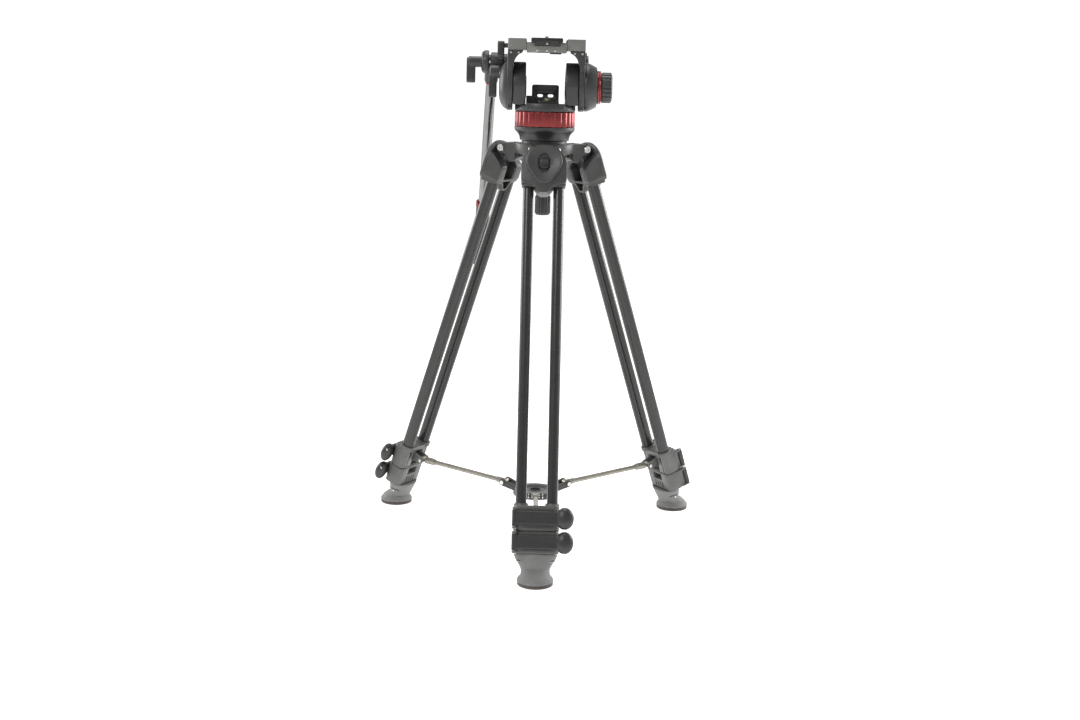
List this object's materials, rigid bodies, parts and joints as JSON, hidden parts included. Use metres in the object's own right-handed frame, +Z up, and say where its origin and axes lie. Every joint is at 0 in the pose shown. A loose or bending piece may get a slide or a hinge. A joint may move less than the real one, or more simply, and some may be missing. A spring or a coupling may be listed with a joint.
{
  "type": "tripod with fluid head",
  "caption": "Video tripod with twin-tube telescopic legs, mid-level spreader, levelling bowl and bridge-shaped fluid pan and tilt head with pan bar.",
  "frame": {"origin": "middle of the base of the whole object's box, on the floor", "axes": "+Z up, -Y the way the lens points and where leg 1 stands, +X to the right seen from the lens side"},
  "size_m": [0.5604, 0.5436, 0.822],
  "materials": {
    "dark_casting": "satin",
    "head_casting": "satin",
    "black_plastic": "matt moulded",
    "anodised_tube": "black anodised",
    "black_anodised": "black anodised",
    "bright_steel": "bright",
    "red_anodised": "red anodised",
    "grey_rubber": "matt",
    "grip_rubber": "matt",
    "spreader_metal": "satin",
    "bar_aluminium": "gloss anodised",
    "vial_fluid": "clear tinted"
  },
  "bodies": {
    "root": {"spider": "dark_casting", "leg_1_hinge_pin": "bright_steel", "leg_2_hinge_pin": "bright_steel", "leg_3_hinge_pin": "bright_steel"},
    "leg_1": {"leg_1_shoulder": "dark_casting", "leg_1_upper_stage": "anodised_tube"},
    "leg_1_button": {"leg_1_angle_button": "black_plastic"},
    "leg_1_upper_clamp": {"leg_1_upper_lever": "black_plastic"},
    "leg_1_middle": {"leg_1_middle_stage": "anodised_tube"},
    "leg_1_lower_clamp": {"leg_1_lower_lever": "black_plastic"},
    "leg_1_foot": {"leg_1_lower_stage": "anodised_tube", "leg_1_boot": "grey_rubber"},
    "spreader_1": {"spreader_arm_1": "spreader_metal"},
    "leg_2": {"leg_2_shoulder": "dark_casting", "leg_2_upper_stage": "anodised_tube"},
    "leg_2_button": {"leg_2_angle_button": "black_plastic"},
    "leg_2_upper_clamp": {"leg_2_upper_lever": "black_plastic"},
    "leg_2_middle": {"leg_2_middle_stage": "anodised_tube"},
    "leg_2_lower_clamp": {"leg_2_lower_lever": "black_plastic"},
    "leg_2_foot": {"leg_2_lower_stage": "anodised_tube", "leg_2_boot": "grey_rubber"},
    "spreader_2": {"spreader_arm_2": "spreader_metal"},
    "leg_3": {"leg_3_shoulder": "dark_casting", "leg_3_upper_stage": "anodised_tube"},
    "leg_3_button": {"leg_3_angle_button": "black_plastic"},
    "leg_3_upper_clamp": {"leg_3_upper_lever": "black_plastic"},
    "leg_3_middle": {"leg_3_middle_stage": "anodised_tube"},
    "leg_3_lower_clamp": {"leg_3_lower_lever": "black_plastic"},
    "leg_3_foot": {"leg_3_lower_stage": "anodised_tube", "leg_3_boot": "grey_rubber"},
    "spreader_3": {"spreader_arm_3": "spreader_metal"},
    "spreader_hub": {"spreader_hub": "black_plastic"},
    "level_ring": {"cup_washer": "black_plastic"},
    "head_base": {"half_ball": "spreader_metal", "pan_base": "head_casting"},
    "bowl_knob": {"bowl_clamp_knob": "black_plastic"},
    "pan_drag": {"pan_drag_ring": "red_anodised"},
    "pan_body": {"pan_floor": "head_casting", "tower_left": "head_casting", "tower_right": "head_casting", "level_housing": "black_plastic", "bubble_vial": "vial_fluid"},
    "tilt_head": {"tilt_arm_left": "head_casting", "tilt_arm_right": "head_casting", "tilt_dome_left": "head_casting", "tilt_dome_right": "head_casting", "bridge": "head_casting"},
    "tilt_drag": {"tilt_drag_ring": "red_anodised", "tilt_drag_knob": "black_plastic"},
    "tilt_lock": {"tilt_lock_lever": "black_plastic"},
    "plate": {"sliding_plate": "black_anodised"},
    "screw": {"camera_screw": "bright_steel"},
    "plate_lock": {"plate_lock_lever": "black_plastic"},
    "plate_release": {"plate_release_button": "black_plastic"},
    "bar": {"bar_clamp": "head_casting", "pan_bar": "bar_aluminium", "bar_ring": "red_anodised", "bar_grip": "grip_rubber"},
    "bar_lock": {"bar_clamp_lever": "black_plastic"}
  },
  "joints": [
    {"name": "leg_1_spread", "type": "hinge", "parent": "root", "child": "leg_1", "pos_m": [0.00325, -0.02538, 0.642], "axis": [1, 0, 0], "range_deg": [0, 16.25]},
    {"name": "leg_1_angle_release", "type": "slide", "parent": "leg_1", "child": "leg_1_button", "axis": [0, 0.9441, -0.3297], "range_m": [0, 0.003], "stiffness_N_per_m": 400},
    {"name": "leg_1_upper_lever", "type": "hinge", "parent": "leg_1", "child": "leg_1_upper_clamp", "pos_m": [-0.02975, -0.23579, 0.10166], "axis": [0, -0.3297, -0.9441], "range_deg": [0, 110]},
    {"name": "leg_1_lower_lever", "type": "hinge", "parent": "leg_1_middle", "child": "leg_1_lower_clamp", "pos_m": [-0.02975, -0.24782, 0.0672], "axis": [0, -0.3297, -0.9441], "range_deg": [0, 110]},
    {"name": "leg_1_upper_slide", "type": "slide", "parent": "leg_1", "child": "leg_1_middle", "axis": [0, -0.3297, -0.9441], "range_m": [0, 0.38]},
    {"name": "leg_1_lower_slide", "type": "slide", "parent": "leg_1_middle", "child": "leg_1_foot", "axis": [0, -0.3297, -0.9441], "range_m": [0, 0.38]},
    {"name": "spreader_1_fold", "type": "hinge", "parent": "leg_1", "child": "spreader_1", "pos_m": [0.00325, -0.18734, 0.08601], "axis": [1, 0, 0], "range_deg": [0, 75.48]},
    {"name": "leg_2_spread", "type": "hinge", "parent": "root", "child": "leg_2", "pos_m": [0.06214, 0.07662, 0.642], "axis": [-0.5, 0.866, 0], "range_deg": [0, 16.25]},
    {"name": "leg_2_angle_release", "type": "slide", "parent": "leg_2", "child": "leg_2_button", "axis": [-0.8176, -0.472, -0.3297], "range_m": [0, 0.003], "stiffness_N_per_m": 400},
    {"name": "leg_2_upper_lever", "type": "hinge", "parent": "leg_2", "child": "leg_2_upper_clamp", "pos_m": [0.26086, 0.15325, 0.10166], "axis": [0.2855, 0.1648, -0.9441], "range_deg": [0, 110]},
    {"name": "leg_2_lower_lever", "type": "hinge", "parent": "leg_2_middle", "child": "leg_2_lower_clamp", "pos_m": [0.27128, 0.15926, 0.0672], "axis": [0.2855, 0.1648, -0.9441], "range_deg": [0, 110]},
    {"name": "leg_2_upper_slide", "type": "slide", "parent": "leg_2", "child": "leg_2_middle", "axis": [0.2855, 0.1648, -0.9441], "range_m": [0, 0.38]},
    {"name": "leg_2_lower_slide", "type": "slide", "parent": "leg_2_middle", "child": "leg_2_foot", "axis": [0.2855, 0.1648, -0.9441], "range_m": [0, 0.38]},
    {"name": "spreader_2_fold", "type": "hinge", "parent": "leg_2", "child": "spreader_2", "pos_m": [0.2024, 0.1576, 0.08601], "axis": [-0.5, 0.866, 0], "range_deg": [0, 75.48]},
    {"name": "leg_3_spread", "type": "hinge", "parent": "root", "child": "leg_3", "pos_m": [-0.05564, 0.07662, 0.642], "axis": [-0.5, -0.866, 0], "range_deg": [0, 16.25]},
    {"name": "leg_3_angle_release", "type": "slide", "parent": "leg_3", "child": "leg_3_button", "axis": [0.8176, -0.472, -0.3297], "range_m": [0, 0.003], "stiffness_N_per_m": 400},
    {"name": "leg_3_upper_lever", "type": "hinge", "parent": "leg_3", "child": "leg_3_upper_clamp", "pos_m": [-0.22136, 0.21041, 0.10166], "axis": [-0.2855, 0.1648, -0.9441], "range_deg": [0, 110]},
    {"name": "leg_3_lower_lever", "type": "hinge", "parent": "leg_3_middle", "child": "leg_3_lower_clamp", "pos_m": [-0.23178, 0.21642, 0.0672], "axis": [-0.2855, 0.1648, -0.9441], "range_deg": [0, 110]},
    {"name": "leg_3_upper_slide", "type": "slide", "parent": "leg_3", "child": "leg_3_middle", "axis": [-0.2855, 0.1648, -0.9441], "range_m": [0, 0.38]},
    {"name": "leg_3_lower_slide", "type": "slide", "parent": "leg_3_middle", "child": "leg_3_foot", "axis": [-0.2855, 0.1648, -0.9441], "range_m": [0, 0.38]},
    {"name": "spreader_3_fold", "type": "hinge", "parent": "leg_3", "child": "spreader_3", "pos_m": [-0.1959, 0.1576, 0.08601], "axis": [-0.5, -0.866, 0], "range_deg": [0, 75.48]},
    {"name": "spreader_hub_rise", "type": "slide", "parent": "root", "child": "spreader_hub", "axis": [0, 0, 1], "range_m": [0, 0.16028]},
    {"name": "level_sideways", "type": "hinge", "parent": "root", "child": "level_ring", "pos_m": [0.00325, 0.04262, 0.651], "axis": [0, 1, 0], "range_deg": [-5, 5]},
    {"name": "level_fore_aft", "type": "hinge", "parent": "level_ring", "child": "head_base", "pos_m": [0.00325, 0.04262, 0.651], "axis": [-1, 0, 0], "range_deg": [-5, 5]},
    {"name": "bowl_clamp_turn", "type": "hinge", "parent": "head_base", "child": "bowl_knob", "pos_m": [0.00325, 0.04262, 0.56], "axis": [0, 0, 1], "continuous": true},
    {"name": "pan", "type": "hinge", "parent": "head_base", "child": "pan_body", "pos_m": [0.00325, 0.04262, 0.7], "axis": [0, 0, 1], "continuous": true},
    {"name": "pan_drag_turn", "type": "hinge", "parent": "head_base", "child": "pan_drag", "pos_m": [0.00325, 0.04262, 0.69], "axis": [0, 0, 1], "range_deg": [0, 120]},
    {"name": "tilt", "type": "hinge", "parent": "pan_body", "child": "tilt_head", "pos_m": [0.00325, 0.04262, 0.7426], "axis": [1, 0, 0], "range_deg": [-12, 70]},
    {"name": "tilt_drag_turn", "type": "hinge", "parent": "tilt_head", "child": "tilt_drag", "pos_m": [0.09325, 0.04262, 0.7426], "axis": [1, 0, 0], "range_deg": [0, 150]},
    {"name": "tilt_lock_turn", "type": "hinge", "parent": "tilt_head", "child": "tilt_lock", "pos_m": [-0.07975, 0.04762, 0.7635], "axis": [-1, 0, 0], "range_deg": [0, 60]},
    {"name": "plate_slide", "type": "slide", "parent": "tilt_head", "child": "plate", "axis": [0, 1, 0], "range_m": [-0.03, 0.03]},
    {"name": "camera_screw_turn", "type": "hinge", "parent": "plate", "child": "screw", "pos_m": [0.00325, 0.04262, 0.815], "axis": [0, 0, 1], "continuous": true},
    {"name": "plate_lock_turn", "type": "hinge", "parent": "tilt_head", "child": "plate_lock", "pos_m": [-0.06975, 0.04762, 0.806], "axis": [-1, 0, 0], "range_deg": [0, 80]},
    {"name": "plate_release", "type": "slide", "parent": "tilt_head", "child": "plate_release", "axis": [-1, 0, 0], "range_m": [0, 0.002], "stiffness_N_per_m": 500},
    {"name": "bar_raise", "type": "hinge", "parent": "tilt_head", "child": "bar", "pos_m": [-0.08475, 0.08762, 0.779], "axis": [1, 0, 0], "range_deg": [0, 105]},
    {"name": "bar_lock_turn", "type": "hinge", "parent": "bar", "child": "bar_lock", "pos_m": [-0.11475, 0.08762, 0.779], "axis": [1, 0, 0], "range_deg": [-60, 60]}
  ],
  "couplings": [
    {"joint": "spreader_1_fold", "follows": "leg_1_spread", "ratio": 4.6442},
    {"joint": "leg_2_spread", "follows": "leg_1_spread", "ratio": 1},
    {"joint": "spreader_2_fold", "follows": "leg_1_spread", "ratio": 4.6442},
    {"joint": "leg_3_spread", "follows": "leg_1_spread", "ratio": 1},
    {"joint": "spreader_3_fold", "follows": "leg_1_spread", "ratio": 4.6442},
    {"joint": "spreader_hub_rise", "follows": "leg_1_spread", "m_per_rad": 0.56476}
  ]
}
